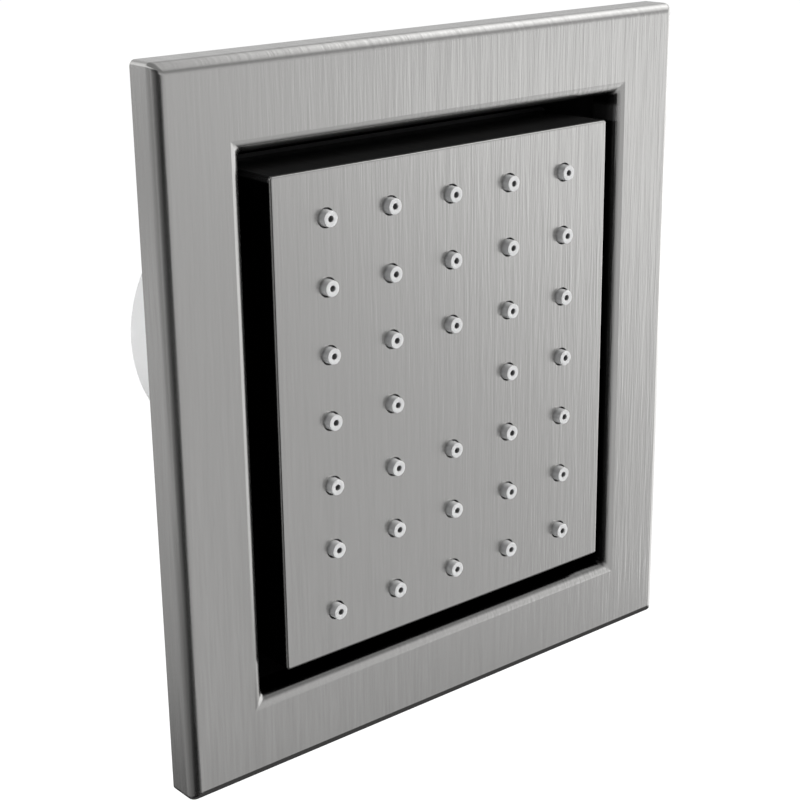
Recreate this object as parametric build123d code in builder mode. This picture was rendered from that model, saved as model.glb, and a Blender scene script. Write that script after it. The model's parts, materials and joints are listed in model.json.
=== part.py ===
"""Recessed shower body jet: a rectangular spray head on a gimbal, in the opening of a trim frame.

Seen from the front, +X is to the right and +Z is up. The finished wall is the plane Y = 0, and the
front of the jet faces -Y. Levels named in the comments as "out" are measured from the wall towards
the front, so what is inside the wall has a negative level.
"""

import os
from math import atan, copysign, cos, degrees, radians, sin, sqrt

from build123d import *

os.makedirs("parts", exist_ok=True)

# Driving dimensions: trim frame
frame_width = 136.5
frame_height = 148.4
frame_depth = 7.9
frame_border = 18.45
frame_edge_radius = 2.8
frame_corner_radius = 1.2
face_ground_off = 0.03
frame_face_thickness = 2.0
frame_wall = 1.8
opening_edge_radius = 3.2
opening_corner_radius = 1.2
opening_wall = 1.6
opening_wall_end = 1.0
frame_boss_wall = 1.6
frame_pilot_roof = 1.0

# Driving dimensions: spray head
head_gap = 4.63
plate_proud = 1.65
plate_thickness = 1.2
plate_edge_radius = 0.5
plate_corner_radius = 0.6
plate_inside_radius = 0.4
cap_depth = 19.5
rim_lip = 0.8
rim_thickness = 2.5
chamber_depth = 5.7
moulding_wall = 2.5
moulding_fit = 0.15
moulding_corner_radius = 0.8
panel_inset = 0.8
spigot_length = 3.5
rim_corner_radius = 2.0
rim_recess_inset = 5.0
rib_thickness = 1.2
rib_end_gap = 6.0

# Driving dimensions: nozzles
nozzle_columns = 5
nozzle_rows = 7
nozzle_margin_x = 12.88
nozzle_margin_z = 9.66
nozzle_radius = 1.65
nozzle_bore = 0.65
nozzle_length = 1.55
nozzle_rim = 0.25
nozzle_rim_angle = 45.0
nozzle_clearance = 0.42
mat_thickness = 1.8

# Driving dimensions: ball joint and gimbal
pivot_depth = 20.0
tilt_range = 8.0
pan_range = 8.0
swing_clearance = 1.0
ball_radius = 11.0
ball_clearance = 0.1
seat_bore = 6.5
seat_rim = 0.3
seal_wall = 1.9
seal_length = 1.8
neck_overhang = 3.0
nut_grip = 9.5
nut_lip = 5.0
nut_lip_gap = 0.3
nut_opening = 8.2
seat_radius_clearance = 0.1
neck_wall = 2.1
nut_wall = 3.0
thread_clearance = 0.05
stem_radius = 6.0
stem_bore = 4.0
stem_thread_step = 0.9
stem_hex_length = 4.0
stem_socket_depth = 11.5
stem_end_gap = 0.3
lug_thickness = 4.5
lug_half_width = 4.5
lug_gap = 0.5
ring_wall = 5.0
ring_half_depth = 4.0
ring_corner_radius = 12.0
pin_radius = 1.5
pin_clearance = 0.05

# Driving dimensions: tray, housing and inlet
tray_wall = 1.8
tray_floor_thickness = 2.5
tray_fit = 0.15
flange_fit = 0.25
flange_thickness = 2.0
flange_corner_radius = 1.0
gasket_thickness = 1.6
gasket_width = 3.8
floor_hole_radius = 27.0
floor_edge_chamfer = 3.1
housing_radius = 32.0
housing_wall = 2.6
housing_depth = 67.0
housing_back_thickness = 3.0
housing_flange_radius = 43.0
housing_flange_thickness = 4.0
housing_seal_section = 1.2
housing_edge_chamfer = 0.8
tray_screw_circle = 38.0
ear_spacing = 80.0
ear_half_width = 9.0
ear_hole_radius = 2.6
ear_thickness = 5.0
inlet_radius = 10.3
inlet_hole_clearance = 0.3
inlet_hex = 30.0
inlet_hex_length = 9.0
inlet_boss_radius = 13.5
inlet_boss_length = 9.0
inlet_boss_chamfer = 0.8
inlet_spigot_reach = 8.0
inlet_thread_radius = 9.6
inlet_thread_depth = 14.0
inlet_passage = 5.0
washer_thickness = 2.0
washer_radius = 15.0
lock_nut_hex = 28.0
lock_nut_thickness = 6.0
screen_thickness = 1.0
regulator_thickness = 3.0
regulator_radius = 8.1
regulator_fit = 0.1
regulator_holes = 6
regulator_hole_circle = 3.25
regulator_hole_radius = 1.0
regulator_recess_radius = 6.1
regulator_recess_depth = 0.9
screen_rows = 2
screen_pitch = 2.6
screen_wire = 0.7
stem_hex = 17.0
stem_seal_section = 1.8
seal_fit = 0.05
nut_notches = 6
notch_width = 4.0
notch_depth = 1.6
notch_length = 5.0

# Fasteners: shank radius, head radius, head height
frame_screw = (1.25, 2.3, 1.4)
head_screw = (1.2, 2.7, 1.9)
tray_screw = (1.9, 3.9, 2.0)
tray_screw_grip = 9.0
tray_boss_wall = 2.0
tray_boss_end = 2.0
tray_boss_rib = 2.0
head_screw_grip = 4.0
head_screw_inset = 9.0
head_boss_wall = 1.8
screw_end_gap = 0.2
screw_hole_clearance = 0.25
countersink_angle = 45.0

# Plan sizes that follow from the frame
opening_width = frame_width - 2 * frame_border
opening_height = frame_height - 2 * frame_border
plate_width = opening_width - 2 * head_gap
plate_height = opening_height - 2 * head_gap
inside_width = plate_width - 2 * plate_thickness - 2 * moulding_fit
inside_height = plate_height - 2 * plate_thickness - 2 * moulding_fit
rim_width = plate_width + 2 * rim_lip
rim_height = plate_height + 2 * rim_lip
nozzle_pitch_x = (plate_width - 2 * nozzle_margin_x) / (nozzle_columns - 1)
nozzle_pitch_z = (plate_height - 2 * nozzle_margin_z) / (nozzle_rows - 1)

# Frame: depth before its face is ground flat, and the planes of its two sections
rolled_depth = frame_depth + face_ground_off
across = Plane.XY
upright = Plane(origin=(0, 0, 0), x_dir=(0, 0, 1), z_dir=(-1, 0, 0))

# Levels of the head, out from the wall
plate_front = frame_depth + plate_proud
mat_front = plate_front - plate_thickness
mat_back = mat_front - mat_thickness
chamber_floor = mat_back - chamber_depth
chamber_back = chamber_floor - moulding_wall
cap_back = plate_front - cap_depth
rim_back = cap_back - rim_thickness
panel_back = cap_back + panel_inset
panel_front = panel_back + moulding_wall
spigot_front = panel_front + spigot_length

# Ball joint: radii and levels about the pivot
pivot = (0, pivot_depth, 0)
pivot_level = -pivot_depth
neck_bore = ball_radius + seal_wall
neck_radius = neck_bore + neck_wall
nut_bore = neck_radius + thread_clearance
nut_radius = nut_bore + nut_wall
seat_outer = ball_radius + seat_rim
seat_front = pivot_level + ball_radius
seat_back = pivot_level + seal_length + neck_overhang
seal_back = seat_back - seal_length
neck_back = pivot_level - neck_overhang
nut_front = neck_back + nut_grip
nut_back = neck_back - nut_lip

# Gimbal: distances from the pivot
head_lug_inner = nut_radius + 2 * lug_gap
head_lug_outer = head_lug_inner + lug_thickness
ring_inner = head_lug_outer + lug_gap
ring_outer = ring_inner + ring_wall
tray_lug_inner = ring_outer + lug_gap
tray_lug_outer = tray_lug_inner + lug_thickness

# Tray: its floor lies behind the deepest corner of the swinging head and of the tilted ring
rim_to_pivot = rim_back - pivot_level
corner_swing = rim_width / 2 * sin(radians(pan_range)) + rim_height / 2 * sin(radians(tilt_range))
corner_depth = pivot_depth + corner_swing - rim_to_pivot * cos(radians(tilt_range)) * cos(radians(pan_range))
ring_swing_depth = pivot_depth + ring_half_depth + ring_outer * sin(radians(tilt_range))
floor_level = -(max(corner_depth, ring_swing_depth) + swing_clearance)
floor_back = floor_level - tray_floor_thickness
skirt_width = opening_width + 2 * opening_wall
skirt_height = opening_height + 2 * opening_wall
skirt_corner_radius = opening_corner_radius + opening_wall
tray_corner_radius = skirt_corner_radius
corner_side = rim_to_pivot * sin(radians(pan_range)) + swing_clearance
corner_slant = rim_width / 2 * sin(radians(pan_range)) * sin(radians(tilt_range))
draft_x = skirt_width / 2 + tray_fit - rim_width / 2 - corner_side
draft_z = skirt_height / 2 + tray_fit - rim_height / 2 - corner_side - corner_slant
tray_draft = min(draft_x, draft_z) / (opening_wall_end - floor_level)
tray_floor_width = skirt_width + 2 * tray_fit - 2 * tray_draft * (opening_wall_end - floor_level)
tray_floor_height = skirt_height + 2 * tray_fit - 2 * tray_draft * (opening_wall_end - floor_level)
outer_floor_width = tray_floor_width + 2 * tray_wall - 2 * tray_draft * tray_floor_thickness
outer_floor_height = tray_floor_height + 2 * tray_wall - 2 * tray_draft * tray_floor_thickness
flange_front = gasket_thickness + flange_thickness
flange_width = frame_width - 2 * frame_wall - 2 * flange_fit
flange_height = frame_height - 2 * frame_wall - 2 * flange_fit

# Housing and inlet: levels
housing_back = -housing_depth
housing_inside = housing_back + housing_back_thickness
washer_back = housing_back - washer_thickness
hex_back = washer_back - inlet_hex_length
inlet_back = hex_back - inlet_boss_length
thread_end = inlet_back + inlet_thread_depth
screen_front = thread_end + screen_thickness
regulator_front = screen_front + regulator_thickness
inlet_front = housing_inside + lock_nut_thickness + inlet_spigot_reach
stem_socket_end = inlet_front - stem_socket_depth
stem_shoulder = inlet_front + stem_hex_length
stem_thread_radius = stem_radius + stem_thread_step
stem_seal_recess = stem_seal_section
stem_seal_pocket = stem_thread_radius + stem_seal_section


def level(out):
    """Plane parallel to the wall at a distance out from it; sketches on it are seen from the front."""
    return Plane.XZ.offset(out)


def rounded(out, width, height, radius):
    """Rounded rectangle about the jet's axis, at a level."""
    with BuildSketch(level(out)) as outline:
        RectangleRounded(width, height, radius)
    return outline.sketch


def rolled_section(plane, width):
    """Section of the frame's block: both front edges are rolled round."""
    with BuildSketch(plane) as section:
        with Locations((0, -rolled_depth / 2)):
            Rectangle(width, rolled_depth)
        fillet(vertices().group_by(Axis.Y)[0], frame_edge_radius)
    return section.sketch


def flared_section(plane, width):
    """Section of the frame's opening: straight walls that flare out round its rolled edges."""
    with BuildSketch(plane) as section:
        with BuildLine():
            wall = Line((width / 2, 0), (width / 2, opening_edge_radius - rolled_depth))
            flare = JernArc(wall @ 1, wall % 1, opening_edge_radius, 90)
            Polyline(flare @ 1, (0, -rolled_depth), (0, 0), wall @ 0)
        make_face()
        mirror(about=Plane.YZ)
    return section.sketch


def crossed(section, width, height, corner):
    """Block with one section across and one upright: mitred, ground flat at the face, corners rounded."""
    with BuildPart() as block:
        extrude(section(across, width), amount=frame_height, both=True)
        extrude(section(upright, height), amount=frame_width, both=True, mode=Mode.INTERSECT)
        split(bisect_by=level(frame_depth), keep=Keep.BOTTOM)
        fillet(edges().filter_by(Axis.Y), corner)
    return block.part


def discs(out, radius, points=((0, 0),)):
    """Circles at a level, one about each point of the front view."""
    with BuildSketch(level(out)) as outline:
        with Locations(*points):
            Circle(radius)
    return outline.sketch


def hexagon(out, across_flats):
    """Hexagon about the jet's axis, at a level."""
    with BuildSketch(level(out)) as outline:
        RegularPolygon(across_flats / 2, 6, major_radius=False)
    return outline.sketch


def turned(*points):
    """Half section of a turned piece: points are (radius, level)."""
    with BuildSketch(Plane(origin=(0, 0, 0), x_dir=(1, 0, 0), z_dir=(0, 0, -1))) as half:
        with BuildLine():
            Polyline(*points, close=True)
        make_face()
    return half.sketch


def basin(back, width, height, corner):
    """Drafted block from a level to the front of the tray's flange; its sizes are those at the back."""
    with BuildPart() as block:
        with BuildSketch(level(back)):
            Rectangle(width, height)
        extrude(amount=flange_front - back, taper=-degrees(atan(tray_draft)))
        fillet(edges().filter_by(lambda edge: edge.bounding_box().size.Y > flange_thickness), corner)
    return block.part


def nut_blank(out, across_flats, length):
    """Half section of a hexagon's blank, with its corners turned off at both ends."""
    corner = across_flats / sqrt(3)
    inset = corner - across_flats / 2
    top = out + length
    return turned((0, out), (corner - inset, out), (corner, out + inset / 2), (corner, top - inset / 2),
                  (corner - inset, top), (0, top))


def side_plane(direction, distance):
    """Plane across a direction, at a distance from the jet's axis; its second axis points out of the wall."""
    along = Vector(direction)
    return Plane(origin=along * distance, x_dir=Vector(0, -1, 0).cross(along), z_dir=along)


def pin_circle(plane, radius):
    """Circle about a gimbal axis."""
    with BuildSketch(plane) as outline:
        with Locations((0, pivot_level)):
            Circle(radius)
    return outline.sketch


def lug(plane, reach, base):
    """Outline of a gimbal lug: straight from its base, round about the pin."""
    tip = reach + copysign(lug_half_width, reach - base)
    with BuildSketch(plane) as outline:
        with BuildLine():
            side = Polyline((-lug_half_width, reach), (-lug_half_width, base), (lug_half_width, base),
                            (lug_half_width, reach))
            ThreePointArc(side @ 1, (0, tip), side @ 0)
        make_face()
    return outline.sketch


nozzle_points = [
    (column * nozzle_pitch_x, row * nozzle_pitch_z)
    for column in range(-(nozzle_columns // 2), nozzle_columns // 2 + 1)
    for row in range(-(nozzle_rows // 2), nozzle_rows // 2 + 1)
    if (column, row) != (0, 0)
]
border_x = (opening_width + frame_border) / 2
border_z = (opening_height + frame_border) / 2
frame_screw_points = [(x, z) for x in (-border_x, border_x) for z in (-border_z, 0, border_z)]
head_screw_x = inside_width / 2 - head_screw_inset
head_screw_z = inside_height / 2 - head_screw_inset
head_screw_points = [(x, z) for x in (-head_screw_x, 0, head_screw_x) for z in (-head_screw_z, head_screw_z)]
screen_points = [
    (column * screen_pitch, row * screen_pitch)
    for column in range(-screen_rows, screen_rows + 1)
    for row in range(-screen_rows, screen_rows + 1)
    if abs(column) + abs(row) < 2 * screen_rows
]
tray_screw_offset = tray_screw_circle / sqrt(2)
tray_screw_points = [(x, z) for x in (-tray_screw_offset, tray_screw_offset)
                     for z in (-tray_screw_offset, tray_screw_offset)]


# Trim frame: hollow behind, with screw bosses under its face
channel_roof = frame_depth - frame_face_thickness
boss_radius = frame_screw[0] + frame_boss_wall
frame_pilot_end = frame_depth - frame_pilot_roof
with BuildPart() as frame:
    add(crossed(rolled_section, frame_width, frame_height, frame_corner_radius))
    add(crossed(flared_section, opening_width, opening_height, opening_corner_radius), mode=Mode.SUBTRACT)
    with BuildSketch(level(0)):
        Rectangle(frame_width - 2 * frame_wall, frame_height - 2 * frame_wall)
        RectangleRounded(skirt_width, skirt_height, skirt_corner_radius, mode=Mode.SUBTRACT)
    extrude(amount=channel_roof, mode=Mode.SUBTRACT)
    extrude(rounded(0, skirt_width, skirt_height, skirt_corner_radius), amount=opening_wall_end,
            mode=Mode.SUBTRACT)
    extrude(discs(flange_front, boss_radius, frame_screw_points), amount=channel_roof - flange_front)
    extrude(discs(flange_front, frame_screw[0], frame_screw_points), amount=frame_pilot_end - flange_front,
            mode=Mode.SUBTRACT)

# Foam ring that seals the frame on the wall
with BuildPart() as frame_gasket:
    with BuildSketch(level(0)):
        RectangleRounded(flange_width, flange_height, flange_corner_radius)
        offset(amount=-gasket_width, kind=Kind.INTERSECTION, mode=Mode.SUBTRACT)
    extrude(amount=gasket_thickness)

# Screws that hold the frame to the tray's flange from behind
frame_screw_head = gasket_thickness - frame_screw[2]
with BuildPart() as frame_screws:
    extrude(discs(frame_screw_head, frame_screw[1], frame_screw_points), amount=frame_screw[2])
    extrude(discs(gasket_thickness, frame_screw[0], frame_screw_points),
            amount=frame_pilot_end - screw_end_gap - gasket_thickness)

# Splash tray: flange in the frame's channel, tapered basin, floor with the lugs of the tilt axis
with BuildPart() as splash_tray:
    add(basin(floor_back, outer_floor_width, outer_floor_height, tray_corner_radius + tray_wall))
    chamfer(faces().sort_by(Axis.Y)[-1].edges(), floor_edge_chamfer)
    extrude(rounded(gasket_thickness, flange_width, flange_height, flange_corner_radius),
            amount=flange_thickness)
    add(basin(floor_level, tray_floor_width, tray_floor_height, tray_corner_radius), mode=Mode.SUBTRACT)
    for side in (-1, 1):
        tray_lug_plane = side_plane((side, 0, 0), tray_lug_inner)
        extrude(lug(tray_lug_plane, pivot_level, floor_level), amount=lug_thickness)
        extrude(pin_circle(tray_lug_plane, pin_radius), amount=lug_thickness, mode=Mode.SUBTRACT)
    extrude(discs(floor_back, floor_hole_radius), amount=tray_floor_thickness, mode=Mode.SUBTRACT)
    extrude(discs(floor_back, tray_screw[0] + screw_hole_clearance, tray_screw_points),
            amount=tray_floor_thickness, mode=Mode.SUBTRACT)
    extrude(discs(floor_level - tray_screw[2], tray_screw[0], tray_screw_points), amount=tray_screw[2],
            taper=-countersink_angle, mode=Mode.SUBTRACT)
    extrude(discs(gasket_thickness, frame_screw[0] + screw_hole_clearance, frame_screw_points),
            amount=flange_thickness, mode=Mode.SUBTRACT)

# Countersunk screws between tray and housing
tray_screw_end = floor_back - tray_screw_grip
with BuildPart() as tray_screws:
    extrude(discs(floor_level - tray_screw[2], tray_screw[0], tray_screw_points), amount=tray_screw[2],
            taper=-countersink_angle)
    extrude(discs(tray_screw_end, tray_screw[0], tray_screw_points),
            amount=floor_level - tray_screw[2] - tray_screw_end)

# Seal ring in the housing's groove, against the tray
seal_groove_inner = housing_radius
seal_groove_outer = housing_radius + 2 * housing_seal_section
seal_groove_back = floor_back - 2 * housing_seal_section
with BuildPart() as housing_seal:
    extrude(discs(seal_groove_back, seal_groove_outer - seal_fit), amount=floor_back - seal_groove_back)
    extrude(discs(seal_groove_back, seal_groove_inner + seal_fit), amount=floor_back - seal_groove_back,
            mode=Mode.SUBTRACT)

# White housing in the wall: flange, tube, back wall, ribbed screw bosses and two fixing ears
housing_bore = housing_radius - housing_wall
housing_flange_back = floor_back - housing_flange_thickness
boss_back = tray_screw_end - tray_boss_end
ear_points = [(0, -ear_spacing / 2), (0, ear_spacing / 2)]
with BuildPart() as wall_housing:
    with BuildSketch(level(housing_back)):
        SlotCenterToCenter(ear_spacing, 2 * ear_half_width, rotation=90)
    extrude(amount=ear_thickness)
    revolve(turned((0, housing_back), (housing_radius - housing_edge_chamfer, housing_back),
                   (housing_radius, housing_back + housing_edge_chamfer),
                   (housing_radius, housing_flange_back),
                   (housing_flange_radius - housing_edge_chamfer, housing_flange_back),
                   (housing_flange_radius, housing_flange_back + housing_edge_chamfer),
                   (housing_flange_radius, floor_back), (0, floor_back)), axis=Axis.Y)
    extrude(discs(boss_back, tray_screw[0] + tray_boss_wall, tray_screw_points),
            amount=housing_flange_back - boss_back)
    with BuildSketch(level(boss_back)):
        with PolarLocations(tray_screw_circle / 2, len(tray_screw_points), start_angle=45):
            Rectangle(tray_screw_circle, tray_boss_rib)
    extrude(amount=housing_flange_back - boss_back)
    extrude(discs(housing_inside, housing_bore), amount=floor_back - housing_inside, mode=Mode.SUBTRACT)
    extrude(discs(housing_back, inlet_radius + inlet_hole_clearance), amount=housing_back_thickness,
            mode=Mode.SUBTRACT)
    extrude(discs(housing_back, ear_hole_radius, ear_points), amount=ear_thickness, mode=Mode.SUBTRACT)
    extrude(discs(tray_screw_end, tray_screw[0], tray_screw_points), amount=floor_back - tray_screw_end,
            mode=Mode.SUBTRACT)
    revolve(turned((seal_groove_inner, seal_groove_back), (seal_groove_outer, seal_groove_back),
                   (seal_groove_outer, floor_back), (seal_groove_inner, floor_back)), axis=Axis.Y,
            mode=Mode.SUBTRACT)

# Brass inlet: hexagon and threaded socket behind the housing, spigot through its back wall
regulator_pocket = regulator_radius + regulator_fit
with BuildPart() as inlet_fitting:
    extrude(hexagon(hex_back, inlet_hex), amount=inlet_hex_length)
    revolve(nut_blank(hex_back, inlet_hex, inlet_hex_length), axis=Axis.Y, mode=Mode.INTERSECT)
    revolve(turned((0, inlet_back), (inlet_boss_radius - inlet_boss_chamfer, inlet_back),
                   (inlet_boss_radius, inlet_back + inlet_boss_chamfer), (inlet_boss_radius, hex_back),
                   (0, hex_back)), axis=Axis.Y)
    extrude(discs(washer_back, inlet_radius), amount=inlet_front - washer_back)
    revolve(turned((0, inlet_back), (inlet_thread_radius, inlet_back), (inlet_thread_radius, thread_end),
                   (regulator_pocket, thread_end), (regulator_pocket, regulator_front),
                   (inlet_passage, regulator_front), (inlet_passage, stem_socket_end),
                   (stem_thread_radius + thread_clearance, stem_socket_end),
                   (stem_thread_radius + thread_clearance, inlet_front - stem_seal_recess),
                   (stem_seal_pocket, inlet_front - stem_seal_recess), (stem_seal_pocket, inlet_front),
                   (0, inlet_front)), axis=Axis.Y, mode=Mode.SUBTRACT)

# Washer under the hexagon, and the lock nut inside the housing
with BuildPart() as inlet_washer:
    extrude(discs(washer_back, washer_radius), amount=washer_thickness)
    extrude(discs(washer_back, inlet_radius + inlet_hole_clearance), amount=washer_thickness,
            mode=Mode.SUBTRACT)

with BuildPart() as inlet_nut:
    extrude(hexagon(housing_inside, lock_nut_hex), amount=lock_nut_thickness)
    revolve(nut_blank(housing_inside, lock_nut_hex, lock_nut_thickness), axis=Axis.Y, mode=Mode.INTERSECT)
    extrude(discs(housing_inside, inlet_radius + thread_clearance), amount=lock_nut_thickness,
            mode=Mode.SUBTRACT)

# Filter screen and flow regulator, one on the other at the end of the socket
with BuildPart() as filter_screen:
    extrude(discs(thread_end, regulator_radius), amount=screen_thickness)
    with BuildSketch(level(thread_end)):
        with Locations(*screen_points):
            Rectangle(screen_pitch - screen_wire, screen_pitch - screen_wire)
    extrude(amount=screen_thickness, mode=Mode.SUBTRACT)

with BuildPart() as flow_regulator:
    extrude(discs(screen_front, regulator_radius), amount=regulator_thickness)
    with BuildSketch(level(screen_front)):
        with PolarLocations(regulator_hole_circle, regulator_holes):
            Circle(regulator_hole_radius)
    extrude(amount=regulator_thickness, mode=Mode.SUBTRACT)
    extrude(discs(screen_front, regulator_recess_radius), amount=regulator_recess_depth, mode=Mode.SUBTRACT)

# Hollow stem with the ball that carries the head
stem_end = stem_socket_end + stem_end_gap
with BuildPart() as ball_stem:
    with Locations(pivot):
        Sphere(ball_radius)
    extrude(discs(stem_shoulder, stem_radius), amount=pivot_level - stem_shoulder)
    extrude(hexagon(inlet_front, stem_hex), amount=stem_shoulder - inlet_front)
    extrude(discs(stem_end, stem_thread_radius), amount=inlet_front - stem_end)
    extrude(discs(stem_end, stem_bore), amount=pivot_level + ball_radius - stem_end, mode=Mode.SUBTRACT)

with BuildPart() as stem_seal:
    extrude(discs(inlet_front - stem_seal_recess, stem_seal_pocket - seal_fit), amount=stem_seal_recess)
    extrude(discs(inlet_front - stem_seal_recess, stem_thread_radius + seal_fit), amount=stem_seal_recess,
            mode=Mode.SUBTRACT)

# Gimbal ring and its two pairs of pins
ring_back = pivot_level - ring_half_depth
with BuildPart() as gimbal_ring:
    extrude(rounded(ring_back, 2 * ring_outer, 2 * ring_outer, ring_corner_radius),
            amount=2 * ring_half_depth)
    extrude(rounded(ring_back, 2 * ring_inner, 2 * ring_inner, ring_corner_radius - ring_wall),
            amount=2 * ring_half_depth, mode=Mode.SUBTRACT)
    for side in (-1, 1):
        tilt_plane = side_plane((side, 0, 0), ring_inner)
        pan_plane = side_plane((0, 0, side), ring_inner)
        extrude(pin_circle(tilt_plane, pin_radius + pin_clearance), amount=ring_wall, mode=Mode.SUBTRACT)
        extrude(pin_circle(pan_plane, pin_radius), amount=ring_wall, mode=Mode.SUBTRACT)

with BuildPart() as tilt_pins:
    for side in (-1, 1):
        extrude(pin_circle(side_plane((side, 0, 0), ring_inner + lug_gap), pin_radius),
                amount=tray_lug_outer - ring_inner - lug_gap)

with BuildPart() as pan_pins:
    for side in (-1, 1):
        extrude(pin_circle(side_plane((0, 0, side), head_lug_inner + lug_gap), pin_radius),
                amount=ring_outer - head_lug_inner - lug_gap)

# Face plate: drawn cap with its nozzle holes
with BuildPart() as face_plate:
    extrude(rounded(cap_back, plate_width, plate_height, plate_corner_radius), amount=cap_depth)
    fillet(faces().sort_by(Axis.Y)[0].edges(), plate_edge_radius)
    extrude(rounded(cap_back, plate_width - 2 * plate_thickness, plate_height - 2 * plate_thickness,
                    plate_inside_radius), amount=mat_front - cap_back, mode=Mode.SUBTRACT)
    extrude(discs(mat_front, nozzle_radius + nozzle_clearance, nozzle_points), amount=plate_thickness,
            mode=Mode.SUBTRACT)

# Nozzle mat: one soft moulding, its nozzles reach through the plate
nozzle_end = plate_front + nozzle_length
with BuildPart() as nozzle_mat:
    extrude(rounded(mat_back, inside_width, inside_height, moulding_corner_radius), amount=mat_thickness)
    extrude(discs(mat_front, nozzle_radius, nozzle_points), amount=nozzle_end - nozzle_rim - mat_front)
    extrude(discs(nozzle_end - nozzle_rim, nozzle_radius, nozzle_points), amount=nozzle_rim,
            taper=nozzle_rim_angle)
    extrude(discs(mat_back, nozzle_bore, nozzle_points), amount=nozzle_end - mat_back, mode=Mode.SUBTRACT)

# Water chamber of the head, with the neck that holds the ball
rib_length = inside_height - 2 * moulding_wall - 2 * rib_end_gap
seat_pocket = seat_outer + seat_radius_clearance
rib_points = [((gap + 0.5) * nozzle_pitch_x, 0) for gap in range(-(nozzle_columns // 2), nozzle_columns // 2)]
with BuildPart() as spray_body:
    extrude(rounded(chamber_back, inside_width, inside_height, moulding_corner_radius),
            amount=mat_back - chamber_back)
    extrude(rounded(chamber_floor, inside_width - 2 * moulding_wall, inside_height - 2 * moulding_wall,
                    moulding_corner_radius), amount=chamber_depth, mode=Mode.SUBTRACT)
    with BuildSketch(level(chamber_floor)):
        with Locations(*rib_points):
            Rectangle(rib_thickness, rib_length)
    extrude(amount=chamber_depth)
    extrude(discs(neck_back, neck_radius), amount=chamber_back - neck_back)
    extrude(discs(panel_front, head_screw[0] + head_boss_wall, head_screw_points),
            amount=chamber_back - panel_front)
    revolve(turned((0, neck_back), (neck_bore, neck_back), (neck_bore, seat_back), (seat_pocket, seat_back),
                   (seat_pocket, seat_front), (seat_bore, seat_front), (seat_bore, chamber_floor),
                   (0, chamber_floor)), axis=Axis.Y, mode=Mode.SUBTRACT)
    extrude(discs(panel_front, head_screw[0], head_screw_points), amount=head_screw_grip, mode=Mode.SUBTRACT)

# Rear cover of the head: spigot in the cap, rim behind its edge, lugs of the pan axis
with BuildPart() as head_back:
    extrude(rounded(rim_back, inside_width, inside_height, moulding_corner_radius),
            amount=spigot_front - rim_back)
    extrude(rounded(rim_back, rim_width, rim_height, rim_corner_radius), amount=rim_thickness)
    extrude(rounded(panel_front, inside_width - 2 * moulding_wall, inside_height - 2 * moulding_wall,
                    moulding_corner_radius), amount=spigot_front - panel_front, mode=Mode.SUBTRACT)
    extrude(rounded(rim_back, inside_width - 2 * rim_recess_inset, inside_height - 2 * rim_recess_inset,
                    moulding_corner_radius), amount=panel_back - rim_back, mode=Mode.SUBTRACT)
    for side in (-1, 1):
        head_lug_plane = side_plane((0, 0, side), head_lug_inner)
        extrude(lug(head_lug_plane, pivot_level, panel_back), amount=lug_thickness)
        extrude(pin_circle(head_lug_plane, pin_radius + pin_clearance), amount=lug_thickness,
                mode=Mode.SUBTRACT)
    extrude(discs(panel_back, neck_radius + moulding_fit), amount=moulding_wall, mode=Mode.SUBTRACT)
    extrude(discs(panel_back, head_screw[0] + screw_hole_clearance, head_screw_points), amount=moulding_wall,
            mode=Mode.SUBTRACT)

# Screws that close the head
head_screw_head = panel_back - head_screw[2]
with BuildPart() as head_screws:
    extrude(discs(head_screw_head, head_screw[1], head_screw_points), amount=head_screw[2])
    extrude(discs(panel_back, head_screw[0], head_screw_points),
            amount=moulding_wall + head_screw_grip - screw_end_gap)

# Seat ring, seal and collar of the ball
seal_radius = neck_bore - seal_fit
lip_front = neck_back - nut_lip_gap
with BuildPart() as ball_seat:
    revolve(turned((seat_bore, seat_back), (seat_outer, seat_back), (seat_outer, seat_front),
                   (seat_bore, seat_front)), axis=Axis.Y)
    with Locations(pivot):
        Sphere(ball_radius + ball_clearance, mode=Mode.SUBTRACT)

with BuildPart() as ball_seal:
    revolve(turned((seat_bore, seal_back), (seal_radius, seal_back), (seal_radius, seat_back),
                   (seat_bore, seat_back)), axis=Axis.Y)
    with Locations(pivot):
        Sphere(ball_radius + ball_clearance, mode=Mode.SUBTRACT)

with BuildPart() as socket_nut:
    revolve(turned((nut_bore, nut_front), (nut_radius, nut_front), (nut_radius, nut_back),
                   (nut_opening, nut_back), (nut_opening, lip_front), (nut_bore, lip_front)), axis=Axis.Y)
    with Locations(pivot):
        Sphere(ball_radius + ball_clearance, mode=Mode.SUBTRACT)
    with BuildSketch(level(nut_back)):
        with PolarLocations(nut_radius, nut_notches):
            Rectangle(2 * notch_depth, notch_width)
    extrude(amount=notch_length, mode=Mode.SUBTRACT)

pieces = {
    "frame": frame,
    "frame_gasket": frame_gasket,
    "frame_screws": frame_screws,
    "splash_tray": splash_tray,
    "tray_screws": tray_screws,
    "housing_seal": housing_seal,
    "wall_housing": wall_housing,
    "inlet_fitting": inlet_fitting,
    "inlet_washer": inlet_washer,
    "inlet_nut": inlet_nut,
    "filter_screen": filter_screen,
    "flow_regulator": flow_regulator,
    "ball_stem": ball_stem,
    "stem_seal": stem_seal,
    "gimbal_ring": gimbal_ring,
    "tilt_pins": tilt_pins,
    "pan_pins": pan_pins,
    "face_plate": face_plate,
    "nozzle_mat": nozzle_mat,
    "spray_body": spray_body,
    "head_back": head_back,
    "head_screws": head_screws,
    "ball_seat": ball_seat,
    "ball_seal": ball_seal,
    "socket_nut": socket_nut,
}
for name, piece in pieces.items():
    piece.part.label = name
    export_step(piece.part, f"parts/{name}.step")
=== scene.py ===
import json
import math

import bmesh
import bpy
from mathutils import Matrix, Quaternion, Vector


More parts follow.
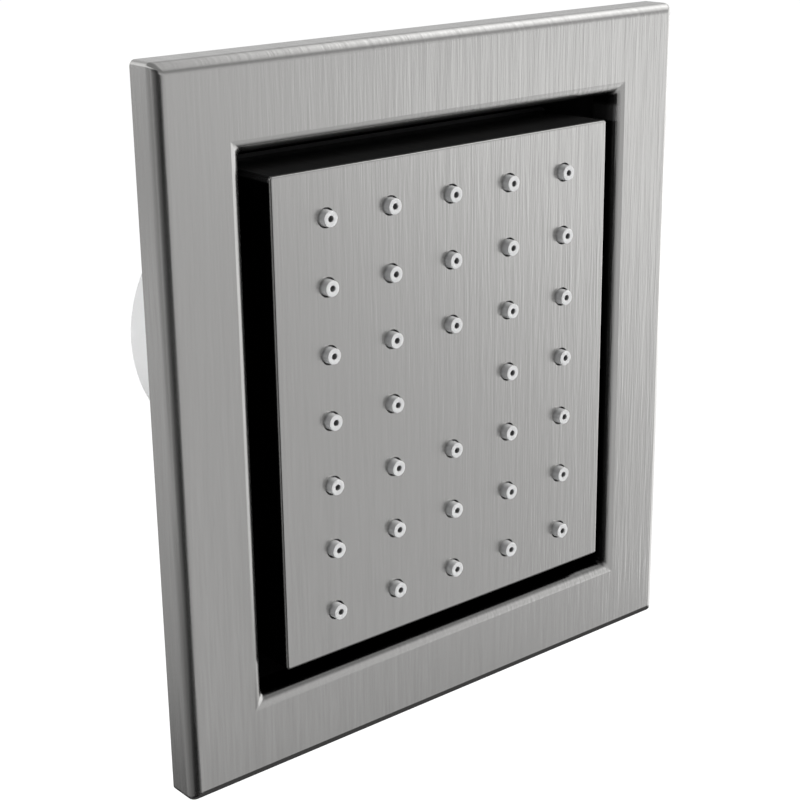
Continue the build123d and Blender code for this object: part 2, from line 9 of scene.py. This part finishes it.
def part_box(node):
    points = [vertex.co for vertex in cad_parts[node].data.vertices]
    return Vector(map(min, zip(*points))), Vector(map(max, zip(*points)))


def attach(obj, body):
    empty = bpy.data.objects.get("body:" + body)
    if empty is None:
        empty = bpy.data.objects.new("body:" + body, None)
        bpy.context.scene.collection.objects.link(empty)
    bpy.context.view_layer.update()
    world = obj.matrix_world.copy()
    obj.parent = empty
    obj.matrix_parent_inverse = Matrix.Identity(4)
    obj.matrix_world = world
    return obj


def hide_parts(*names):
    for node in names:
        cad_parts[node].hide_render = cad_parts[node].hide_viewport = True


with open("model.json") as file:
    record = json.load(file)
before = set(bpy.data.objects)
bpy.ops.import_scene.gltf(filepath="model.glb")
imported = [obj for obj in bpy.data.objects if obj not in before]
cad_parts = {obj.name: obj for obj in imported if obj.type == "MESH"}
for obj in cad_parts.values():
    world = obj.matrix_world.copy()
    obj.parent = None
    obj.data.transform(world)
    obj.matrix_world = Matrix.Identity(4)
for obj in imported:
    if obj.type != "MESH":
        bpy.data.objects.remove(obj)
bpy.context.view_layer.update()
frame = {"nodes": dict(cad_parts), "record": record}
nodes = frame["nodes"]

mm = 0.001


# Shader helpers

class Finish:
    """One material's node tree, with short calls for the nodes used below."""

    def __init__(self, name):
        self.material = bpy.data.materials.new(name)
        self.material.use_nodes = True
        self.tree = self.material.node_tree
        self.tree.nodes.clear()
        self.output = self.node("ShaderNodeOutputMaterial")
        self.position = self.node("ShaderNodeTexCoord").outputs["Object"]

    def node(self, kind, **settings):
        made = self.tree.nodes.new(kind)
        for setting, value in settings.items():
            setattr(made, setting, value)
        return made

    def link(self, source, target):
        self.tree.links.new(source, target)

    def stretched(self, scale):
        mapping = self.node("ShaderNodeMapping")
        mapping.inputs["Scale"].default_value = scale
        self.link(self.position, mapping.inputs["Vector"])
        return mapping.outputs["Vector"]

    def noise(self, vector, scale, detail, waver=0.0):
        texture = self.node("ShaderNodeTexNoise")
        for socket, number in (("Scale", scale), ("Detail", detail), ("Distortion", waver)):
            texture.inputs[socket].default_value = number
        self.link(vector, texture.inputs["Vector"])
        return texture.outputs["Fac"]

    def between(self, value, low, high, start=0.3, end=0.7):
        """value from start to end becomes low to high; left out, start and end are a noise's usual range."""
        spread = self.node("ShaderNodeMapRange", clamp=True)
        for socket, number in (("From Min", start), ("From Max", end), ("To Min", low), ("To Max", high)):
            spread.inputs[socket].default_value = number
        self.link(value, spread.inputs["Value"])
        return spread.outputs["Result"]

    def math(self, operation, first, second=None):
        made = self.node("ShaderNodeMath", operation=operation)
        self.link(first, made.inputs[0])
        if second is not None:
            self.link(second, made.inputs[1])
        return made.outputs["Value"]

    def product(self, first, *others):
        for other in others:
            first = self.math("MULTIPLY", first, other)
        return first

    def split(self, vector):
        made = self.node("ShaderNodeSeparateXYZ")
        self.link(vector, made.inputs["Vector"])
        return made.outputs["X"], made.outputs["Y"], made.outputs["Z"]

    def shaded(self, share, colour, dark):
        """A colour that goes to a dark one by a share."""
        mix = self.node("ShaderNodeMix", data_type="RGBA")
        self.link(share, mix.inputs["Factor"])
        self.link(colour, mix.inputs["A"])
        mix.inputs["B"].default_value = (*dark, 1.0)
        return mix.outputs["Result"]

    def mixed(self, share, first, second):
        """Two values mixed by a share."""
        mix = self.node("ShaderNodeMix", data_type="FLOAT")
        self.link(share, mix.inputs["Factor"])
        self.link(first, mix.inputs["A"])
        self.link(second, mix.inputs["B"])
        return mix.outputs["Result"]

    def tinted(self, share, first, second):
        """Two colours mixed by a share."""
        mix = self.node("ShaderNodeMix", data_type="RGBA")
        self.link(share, mix.inputs["Factor"])
        mix.inputs["A"].default_value = (*first, 1.0)
        mix.inputs["B"].default_value = (*second, 1.0)
        return mix.outputs["Result"]

    def bumped(self, height, depth):
        bump = self.node("ShaderNodeBump")
        bump.inputs["Strength"].default_value = 1.0
        bump.inputs["Distance"].default_value = depth
        self.link(height, bump.inputs["Height"])
        return bump.outputs["Normal"]

    def surface(self, colour, roughness, normal, **constants):
        shader = self.node("ShaderNodeBsdfPrincipled")
        self.link(colour, shader.inputs["Base Color"])
        self.link(roughness, shader.inputs["Roughness"])
        self.link(normal, shader.inputs["Normal"])
        for socket, value in constants.items():
            shader.inputs[socket.replace("_", " ")].default_value = value
        self.link(shader.outputs["BSDF"], self.output.inputs["Surface"])
        return shader


# Brushed steel: its streaks, and painted shade on the walls of the gap round the spray head, its edges each
# fading over a short way

steel_dark, steel_light = (0.60, 0.595, 0.585), (0.645, 0.64, 0.63)
steel_rough, steel_smooth = 0.26, 0.19
coarse_streaks, fine_streaks = 700, 1800
coarse_share, fine_share = 0.45, 0.55
streak_stretch, streak_waver, streak_depth = 0.045, 0.4, 0.00003
shallow, deep = 0.35, 1.5
shallow_at, deep_at = -60.0 * mm, 60.0 * mm
brushing_way = (0.0, -0.1, 1.0)
upright_under, level_over = 0.15, 0.6
streak_range = (0.1, 0.9)

# Painted shade: where the steel lies deep in the gap round the spray head, its colour goes to this black; on
# the opening's right and lower roundings it reaches a little further out than on the left and top.
gap_shade_colour, gap_shade_amount = (0.012, 0.012, 0.012), 0.98
gap_left, gap_right = (-50.0 * mm, -49.7 * mm), (50.3 * mm, 51.7 * mm)
gap_bottom, gap_top = (-57.2 * mm, -56.1 * mm), (55.7 * mm, 56.9 * mm)
gap_front = (-9.1 * mm, -8.7 * mm)
cap_side, past_cap = (49.8 * mm, 50.2 * mm), (53.0 * mm, 54.0 * mm)


def brushed_stainless():
    """Sheet steel brushed up and down, deeper to the right; painted shade makes it black in the gap, and
    there on the cap's top it is not metal, so the lamps light it a little.
    """
    finish = Finish("brushed_stainless")
    facing = finish.node("ShaderNodeNewGeometry").outputs["Normal"]
    up_or_down = finish.math("ABSOLUTE", finish.split(facing)[2])
    is_level = finish.between(up_or_down, 0.0, 1.0, upright_under, level_over)
    upright = finish.stretched((1.0, 1.0, streak_stretch))
    over = finish.stretched((1.0, streak_stretch, streak_stretch))

    def streaks(scale, detail):
        return finish.mixed(is_level, finish.noise(upright, scale, detail, streak_waver),
                            finish.noise(over, scale, detail, streak_waver))

    drawn = finish.math("ADD", finish.between(streaks(coarse_streaks, 1), 0.0, coarse_share),
                        finish.between(streaks(fine_streaks, 2), 0.0, fine_share))

    x, y, z = finish.split(finish.position)
    # Painted shade mask: near 1 deep in the gap round the spray head, 0 on the open steel.
    gap_shade_mask = finish.product(finish.between(y, 0.0, gap_shade_amount, *gap_front),
                            finish.between(x, 0.0, 1.0, *gap_left), finish.between(x, 1.0, 0.0, *gap_right),
                            finish.between(z, 0.0, 1.0, *gap_bottom), finish.between(z, 1.0, 0.0, *gap_top))
    cap_top = finish.product(finish.between(z, 0.0, 1.0, *cap_side), finish.between(z, 1.0, 0.0, *past_cap))

    bare = finish.tinted(finish.between(drawn, 0.0, 1.0, *streak_range), steel_dark, steel_light)
    colour = finish.shaded(gap_shade_mask, bare, gap_shade_colour)
    roughness = finish.between(drawn, steel_rough, steel_smooth, *streak_range)
    depth = finish.product(drawn, finish.between(x, shallow, deep, shallow_at, deep_at))
    shader = finish.surface(colour, roughness, finish.bumped(depth, streak_depth), Anisotropic=0.55)
    # On the cap's top in the gap the painted shade is not metal, so the lamps light it a little.
    painted = finish.product(gap_shade_mask, cap_top)
    finish.link(finish.between(painted, 1.0, 0.0, 0.0, gap_shade_amount), shader.inputs["Metallic"])

    across = finish.node("ShaderNodeVectorMath", operation="CROSS_PRODUCT")
    across.inputs[0].default_value = brushing_way
    finish.link(facing, across.inputs[1])
    finish.link(across.outputs["Vector"], shader.inputs["Tangent"])
    return finish.material


# The other finishes; colours go from a dark to a light one in soft clouds

def clouded(finish, scale, dark, light):
    return finish.tinted(finish.between(finish.noise(finish.position, scale, 3), 0.0, 1.0), dark, light)


def soft_rubber():
    """Soft grey moulding, with painted shade in the bores and on the sheet behind the face plate, where no
    light comes.
    """
    finish = Finish("soft_grey")
    grained = finish.noise(finish.position, 2200, 2)
    bore_and_sheet_shade = finish.node("ShaderNodeAttribute", attribute_name="bore_and_sheet_shade").outputs["Fac"]
    colour = clouded(finish, 55, (0.62, 0.62, 0.615), (0.67, 0.67, 0.665))
    # Painted shade: the bores and the sheet behind the face plate go to dark grey.
    colour = finish.shaded(bore_and_sheet_shade, colour, (0.22, 0.22, 0.22))
    finish.surface(colour, finish.between(grained, 0.5, 0.62), finish.bumped(grained, 0.00001))
    return finish.material


def moulded(name, dark, light, rough, grain=900.0, depth=0.00001, **constants):
    """Plastic, rubber or foam with a fine mould grain."""
    finish = Finish(name)
    grained = finish.noise(finish.position, grain, 2)
    colour = clouded(finish, grain * 0.06, dark, light)
    roughness = finish.between(grained, rough - 0.05, rough + 0.05)
    finish.surface(colour, roughness, finish.bumped(grained, depth), **constants)
    return finish.material


def turned(name, dark, light, rough, depth=0.000004):
    """Turned or plated metal, with fine rings round the Y axis."""
    finish = Finish(name)
    rings = finish.noise(finish.stretched((0.05, 1.0, 0.05)), 2200, 2)
    colour = clouded(finish, 60, dark, light)
    roughness = finish.between(rings, rough - 0.06, rough + 0.06)
    finish.surface(colour, roughness, finish.bumped(rings, depth), Metallic=1.0)
    return finish.material


finishes = {
    "brushed_stainless": brushed_stainless(),
    "soft_grey": soft_rubber(),
    "black_plastic": moulded("black_plastic", (0.014, 0.014, 0.015), (0.020, 0.020, 0.021), 0.45,
                             Specular_IOR_Level=0.25),
    "grey_plastic": moulded("grey_plastic", (0.13, 0.13, 0.135), (0.16, 0.16, 0.165), 0.42),
    "white_plastic": moulded("white_plastic", (0.78, 0.78, 0.775), (0.82, 0.82, 0.815), 0.38),
    "natural_plastic": moulded("natural_plastic", (0.70, 0.68, 0.62), (0.76, 0.74, 0.68), 0.35),
    "black_rubber": moulded("black_rubber", (0.012, 0.012, 0.012), (0.02, 0.02, 0.02), 0.65),
    "black_foam": moulded("black_foam", (0.018, 0.018, 0.019), (0.032, 0.032, 0.033), 0.9,
                          grain=1500.0, depth=0.0001),
    "plain_steel": turned("plain_steel", (0.50, 0.50, 0.49), (0.58, 0.58, 0.57), 0.32),
    "brass": turned("brass", (0.66, 0.46, 0.20), (0.74, 0.54, 0.26), 0.3),
    "polished_chrome": turned("polished_chrome", (0.60, 0.61, 0.62), (0.64, 0.65, 0.66), 0.12,
                              depth=0.000001),
}

for node in nodes.values():
    node.data.materials[0] = finishes[node.data.materials[0].name.split(".")[0]]


# Pieces made here: nozzles, frame screws and the thread of the inlet

sharp_over = math.radians(40)
weld = 0.0001 * mm


def new_piece(name, mesh, finish, body, stands_for=None):
    for face in mesh.faces:
        face.smooth = True
    for edge in mesh.edges:
        edge.smooth = edge.calc_face_angle(0.0) < sharp_over
    data = bpy.data.meshes.new(name)
    mesh.to_mesh(data)
    mesh.free()
    piece = bpy.data.objects.new(name, data)
    bpy.context.collection.objects.link(piece)
    data.materials.append(finishes[finish])
    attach(piece, body)
    if stands_for:
        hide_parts(stands_for)


def corners_of(made):
    return [part for part in made if isinstance(part, bmesh.types.BMVert)]


def open_edges(mesh):
    return [edge for edge in mesh.edges if edge.is_boundary]


def arc(centre, radius, start, end, steps):
    """Points (distance from the axis, level) of an arc, from one angle to another in degrees."""
    turns = [math.radians(start + (end - start) * step / steps) for step in range(steps + 1)]
    return [(centre[0] + radius * math.cos(t), centre[1] + radius * math.sin(t)) for t in turns]


def repeated(mesh, places):
    """The mesh's one piece, copied to each place."""
    first = list(mesh.verts) + list(mesh.edges) + list(mesh.faces)
    for place in places:
        copy = bmesh.ops.duplicate(mesh, geom=first)["geom"]
        bmesh.ops.translate(mesh, verts=corners_of(copy), vec=place)
    bmesh.ops.delete(mesh, geom=corners_of(first), context="VERTS")


def spun(mesh, outline, steps):
    """A turned solid about the Y axis from its outline of (distance from the axis, level)."""
    corners = [mesh.verts.new((out, level, 0.0)) for out, level in outline]
    edges = [mesh.edges.new(pair) for pair in zip(corners, corners[1:])]
    bmesh.ops.spin(mesh, geom=corners + edges, cent=(0, 0, 0), axis=(0, 1, 0), angle=math.tau,
                   steps=steps, use_merge=True)
    bmesh.ops.remove_doubles(mesh, verts=mesh.verts, dist=weld)
    bmesh.ops.recalc_face_normals(mesh, faces=mesh.faces)


pitch_across, pitch_up = 16.145 * mm, 13.82 * mm
columns, rows = 5, 7
nozzle_radius, bore_radius = 1.65 * mm, 0.65 * mm
nozzle_tip, mat_front, mat_back = -11.10 * mm, -8.35 * mm, -6.55 * mm
# bore_shade: how far into the bore the painted shade grows to full dark.
rim_radius, bore_rim_radius, bore_shade = 0.15 * mm, 0.06 * mm, 0.35 * mm
bore_end, nozzle_foot = mat_front + 0.1 * mm, mat_front + 0.3 * mm
hair = 0.01 * mm


def nozzles():
    """The mat's 34 nozzles on a plain sheet; the middle one of the grid is left out."""
    bore_rim = (bore_radius + bore_rim_radius, nozzle_tip + bore_rim_radius)
    outer_rim = (nozzle_radius - rim_radius, nozzle_tip + rim_radius)
    outline = [(0.0, bore_end), (bore_radius, bore_end), (bore_radius, nozzle_tip + bore_shade)]
    outline += arc(bore_rim, bore_rim_radius, 180, 270, 3)
    outline += arc(outer_rim, rim_radius, 270, 360, 6)
    outline += [(nozzle_radius, nozzle_foot), (0.0, nozzle_foot)]
    mesh = bmesh.new()
    bore_and_sheet_shade = mesh.verts.layers.float.new("bore_and_sheet_shade")
    spun(mesh, outline, 40)
    # Painted shade on each bore's wall below its rim.
    for vert in mesh.verts:
        in_bore = Vector((vert.co.x, vert.co.z)).length < bore_radius + hair
        vert[bore_and_sheet_shade] = float(in_bore and vert.co.y > nozzle_tip + bore_rim_radius + hair)
    middle = (columns // 2, rows // 2)
    repeated(mesh, [((column - middle[0]) * pitch_across, 0.0, (row - middle[1]) * pitch_up)
                    for column in range(columns) for row in range(rows) if (column, row) != middle])
    low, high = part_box("nozzle_mat")
    sheet = bmesh.ops.create_cube(mesh, size=1.0)["verts"]
    bmesh.ops.scale(mesh, verts=sheet, vec=(high.x - low.x, mat_back - mat_front, high.z - low.z))
    bmesh.ops.translate(mesh, verts=sheet, vec=(0, (mat_back + mat_front) / 2, 0))
    # The sheet behind the face plate takes painted shade all over.
    for vert in sheet:
        vert[bore_and_sheet_shade] = 1.0
    new_piece("nozzles", mesh, "soft_grey", "spray_head", "nozzle_mat")


head_radius, head_height, head_rim = 2.3 * mm, 1.4 * mm, 0.35 * mm
shank_radius, shank_point = 1.25 * mm, 0.6 * mm
socket_radius, socket_depth, socket_sides = 1.15 * mm, 0.9 * mm, 6
screw_steps = 24


def frame_screws():
    """Pan-head screws with a hexagon socket; their heads face the wall."""
    low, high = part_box("frame_screws")
    outline = arc((head_radius - head_rim, high.y - head_rim), head_rim, 90, 0, 4)
    outline += [(head_radius, high.y - head_height), (shank_radius, high.y - head_height),
                (shank_radius, low.y + shank_point), (shank_radius - shank_point, low.y), (0.0, low.y)]
    mesh = bmesh.new()
    spun(mesh, outline, screw_steps)
    rim = open_edges(mesh)
    upright = Matrix.Translation((0, high.y, 0)) @ Matrix.Rotation(math.pi / 2, 4, "X")
    corners = bmesh.ops.create_circle(mesh, cap_ends=False, segments=socket_sides, radius=socket_radius,
                                      matrix=upright)["verts"]
    bmesh.ops.subdivide_edges(mesh, edges=list({edge for corner in corners for edge in corner.link_edges}),
                              cuts=screw_steps // socket_sides - 1)
    mouth = [edge for edge in mesh.edges if edge.is_wire]
    bmesh.ops.bridge_loops(mesh, edges=rim + mouth)
    walls = bmesh.ops.extrude_edge_only(mesh, edges=mouth)["geom"]
    bmesh.ops.translate(mesh, verts=corners_of(walls), vec=(0, -socket_depth, 0))
    bmesh.ops.edgeloop_fill(mesh, edges=open_edges(mesh))
    bmesh.ops.recalc_face_normals(mesh, faces=mesh.faces)
    out, up = high.x - head_radius, high.z - head_radius
    repeated(mesh, [(x, 0.0, z) for x in (-out, out) for z in (-up, 0.0, up)])
    new_piece("socket_screws", mesh, "plain_steel", "wall_side", "frame_screws")


thread_pitch, thread_height, thread_turns = 1.814 * mm, 0.5 * mm, 6
thread_start, thread_sunk = 1.6 * mm, 0.03 * mm
thread_crest, thread_foot = 0.08 * thread_pitch, 0.42 * thread_pitch


def inlet_thread():
    """The ridge of the pipe thread in the inlet's socket."""
    inlet = next(mount for mount in frame["record"]["mounts"] if mount["name"] == "water_inlet")
    wall = inlet["dims"]["r_mm"] * mm + thread_sunk
    crest = wall - thread_height
    start = inlet["pos_m"][1] - thread_start
    mesh = bmesh.new()
    corners = [mesh.verts.new((out, start + level, 0.0)) for out, level in
               ((wall, thread_foot), (crest, thread_crest), (crest, -thread_crest), (wall, -thread_foot))]
    ridge = [mesh.edges.new((corners[at - 1], corners[at])) for at in range(len(corners))]
    steps = 48
    bmesh.ops.spin(mesh, geom=corners + ridge, cent=(0, 0, 0), axis=(0, 1, 0), angle=math.tau * thread_turns,
                   steps=steps * thread_turns, dvec=(0, -thread_pitch / steps, 0))
    bmesh.ops.holes_fill(mesh, edges=open_edges(mesh), sides=4)
    bmesh.ops.recalc_face_normals(mesh, faces=mesh.faces)
    new_piece("inlet_thread", mesh, "brass", "wall_side")


nozzles()
frame_screws()
inlet_thread()


# Camera

def aimed(direction, roll=0.0):
    return direction.to_track_quat("-Z", "Y") @ Quaternion((0.0, 0.0, 1.0), roll)


def placed(made, place, turn):
    made.location = place
    made.rotation_mode = "QUATERNION"
    made.rotation_quaternion = turn
    bpy.context.collection.objects.link(made)


eye = Vector((-0.23476, -0.27365, 0.11616))
aim = Vector((0.60719, 0.72773, -0.31895))
camera_roll, focal_length, sensor = -0.01372, 79.244, 36.0
camera = bpy.data.objects.new("camera", bpy.data.cameras.new("camera"))
camera.data.lens, camera.data.sensor_width = focal_length, sensor
camera.data.dof.use_dof = False
placed(camera, eye, aimed(aim, camera_roll))
bpy.context.scene.camera = camera
bpy.context.scene.view_settings.view_transform = "Standard"


# Light: two lamps that the metal doesn't mirror, and a world that is white where it is seen

def lamp(name, place, size, power):
    """A square lamp that points at the part."""
    data = bpy.data.lights.new(name, "AREA")
    data.shape, data.size, data.size_y, data.energy = "RECTANGLE", size, size, power
    made = bpy.data.objects.new(name, data)
    made.visible_glossy = False
    placed(made, place, aimed(-Vector(place)))


lamp("key", (0.95, -0.85, 0.75), 0.7, 20.0)
lamp("left_fill", (-1.3, 0.5, 0.6), 1.0, 11.5)


def seen_directly(tree):
    """1 on camera, glossy and transmission rays, which see the white background."""
    path = tree.nodes.new("ShaderNodeLightPath")
    share = path.outputs["Is Camera Ray"]
    for ray in ("Is Glossy Ray", "Is Transmission Ray"):
        most = tree.nodes.new("ShaderNodeMath")
        most.operation = "MAXIMUM"
        tree.links.new(share, most.inputs[0])
        tree.links.new(path.outputs[ray], most.inputs[1])
        share = most.outputs["Value"]
    return share


world = bpy.data.worlds.new("studio")
bpy.context.scene.world = world
world.use_nodes = True
tree = world.node_tree
tree.nodes.clear()
choice = tree.nodes.new("ShaderNodeMixShader")
world_out = tree.nodes.new("ShaderNodeOutputWorld")
tree.links.new(seen_directly(tree), choice.inputs["Fac"])
around, background = ((0.97, 0.98, 1.0, 1.0), 0.38), ((1.0, 1.0, 1.0, 1.0), 1.0)
for slot, (tint, strength) in enumerate((around, background), start=1):
    light = tree.nodes.new("ShaderNodeBackground")
    light.inputs["Color"].default_value = tint
    light.inputs["Strength"].default_value = strength
    tree.links.new(light.outputs["Background"], choice.inputs[slot])
tree.links.new(choice.outputs["Shader"], world_out.inputs["Surface"])


# Stage: a white floor, and the cards that the metal mirrors

def plane(name, size_x, size_y, place, facing=None, turn=0.0):
    """A flat sheet, level unless it faces somewhere; turn is about its own normal, in degrees."""
    mesh = bmesh.new()
    bmesh.ops.create_grid(mesh, x_segments=1, y_segments=1, size=0.5)
    bmesh.ops.scale(mesh, verts=mesh.verts, vec=(size_x, size_y, 1.0))
    data = bpy.data.meshes.new(name)
    mesh.to_mesh(data)
    mesh.free()
    made = bpy.data.objects.new(name, data)
    stand = Vector(facing).to_track_quat("Z", "Y") if facing else Quaternion()
    placed(made, place, stand @ Quaternion((0.0, 0.0, 1.0), math.radians(turn)))
    return made


floor_level, floor_size = -0.35, 12.0
floor_colour, floor_glow, floor_lit_share = (0.8, 0.8, 0.8, 1.0), 1.25, 0.25
floor = plane("floor", floor_size, floor_size, (0, 0, floor_level))
paint = Finish("floor")
pale = paint.node("ShaderNodeBsdfDiffuse")
pale.inputs["Color"].default_value = floor_colour
white = paint.node("ShaderNodeEmission")
white.inputs["Strength"].default_value = floor_glow
lit = paint.node("ShaderNodeMixShader")
lit.inputs["Fac"].default_value = floor_lit_share
paint.link(white.outputs["Emission"], lit.inputs[1])
paint.link(pale.outputs["BSDF"], lit.inputs[2])
floor_choice = paint.node("ShaderNodeMixShader")
paint.link(seen_directly(paint.tree), floor_choice.inputs["Fac"])
paint.link(pale.outputs["BSDF"], floor_choice.inputs[1])
paint.link(lit.outputs["Shader"], floor_choice.inputs[2])
paint.link(floor_choice.outputs["Shader"], paint.output.inputs["Surface"])
floor.data.materials.append(paint.material)


def card(made, grey, other=None, start=0.0, end=1.0, along="X", ends=None):
    """A grey card that only the metal sees; its grey may go to another one along its width X or height Y,
    and to a third one towards both ends the other way (ends: from, to, grey)."""
    made.visible_camera = made.visible_diffuse = made.visible_shadow = False
    made.visible_transmission = False
    paint = Finish(made.name)
    way = "XY".index(along)
    place = paint.split(paint.position)
    level = paint.between(place[way], grey, grey if other is None else other, start, end)
    if ends:
        fade_from, fade_to, end_grey = ends
        share = paint.between(paint.math("ABSOLUTE", place[1 - way]), 0.0, 1.0, fade_from, fade_to)
        level = paint.mixed(share, level, paint.between(place[way], end_grey, end_grey))
    glow = paint.node("ShaderNodeEmission")
    paint.link(level, glow.inputs["Strength"])
    paint.link(glow.outputs["Emission"], paint.output.inputs["Surface"])
    made.data.materials.append(paint.material)


to_right, to_left = (1.0, 0.0, 0.0), (-1.0, 0.0, 0.0)
to_back, to_front = (0.0, 1.0, 0.0), (0.0, -1.0, 0.0)
to_right_back = (0.749, 0.6625, 0.0)

card(plane("grey_sweep", 3.44, 6.0, (-0.866, -0.5, floor_level + 0.010), turn=30.0),
     grey=0.51, other=0.97, start=1.22, end=1.5)
card(plane("dark_foot", 0.72, 0.92, (0.06, 0.04, floor_level + 0.020)),
     grey=0.50, other=0.06, start=-0.42, end=-0.22, along="Y")
card(plane("left_foot", 0.5, 1.3, (-0.55, 0.37, floor_level + 0.015)),
     grey=0.12, other=0.46, start=-0.42, end=0.41, along="Y")
card(plane("right_floor", 1.6, 1.20, (1.37, 0.22, floor_level + 0.012)),
     grey=1.15, other=2.0, start=-0.5, end=0.1)
card(plane("black_foot", 0.46, 0.40, (-0.31, -0.27, floor_level + 0.025), turn=41.5), grey=0.0)
card(plane("black_flag", 0.75, 0.74, (-0.50, -0.29, 0.03), to_right_back),
     grey=0.02, other=0.25, start=-0.08, end=0.37)
card(plane("left_grey", 1.55, 0.85, (-0.9, 0.83, 0.07), to_right),
     grey=0.25, other=0.41, start=-0.775, end=0.1)
card(plane("back_grey", 2.1, 1.30, (0.85, 1.2, 0.30), to_front), grey=0.62)
card(plane("front_grey", 4.8, 1.30, (0.5, -2.45, 0.30), to_back),
     grey=1.0, other=0.55, start=-2.4, end=-1.4)
card(plane("right_white", 2.5, 1.25, (2.3, -0.65, 0.275), to_left),
     grey=2.4, other=1.15, start=-0.9, end=-0.5)
card(plane("top_grey", 3.7, 3.65, (0.75, -0.625, 0.95)),
     grey=0.27, other=0.66, start=0.05, end=1.05)
card(plane("top_strip", 1.3, 1.8, (0.85, 0.12, 0.94)),
     grey=0.42, other=1.75, start=-0.35, end=-0.1, ends=(0.05, 0.78, 0.45))
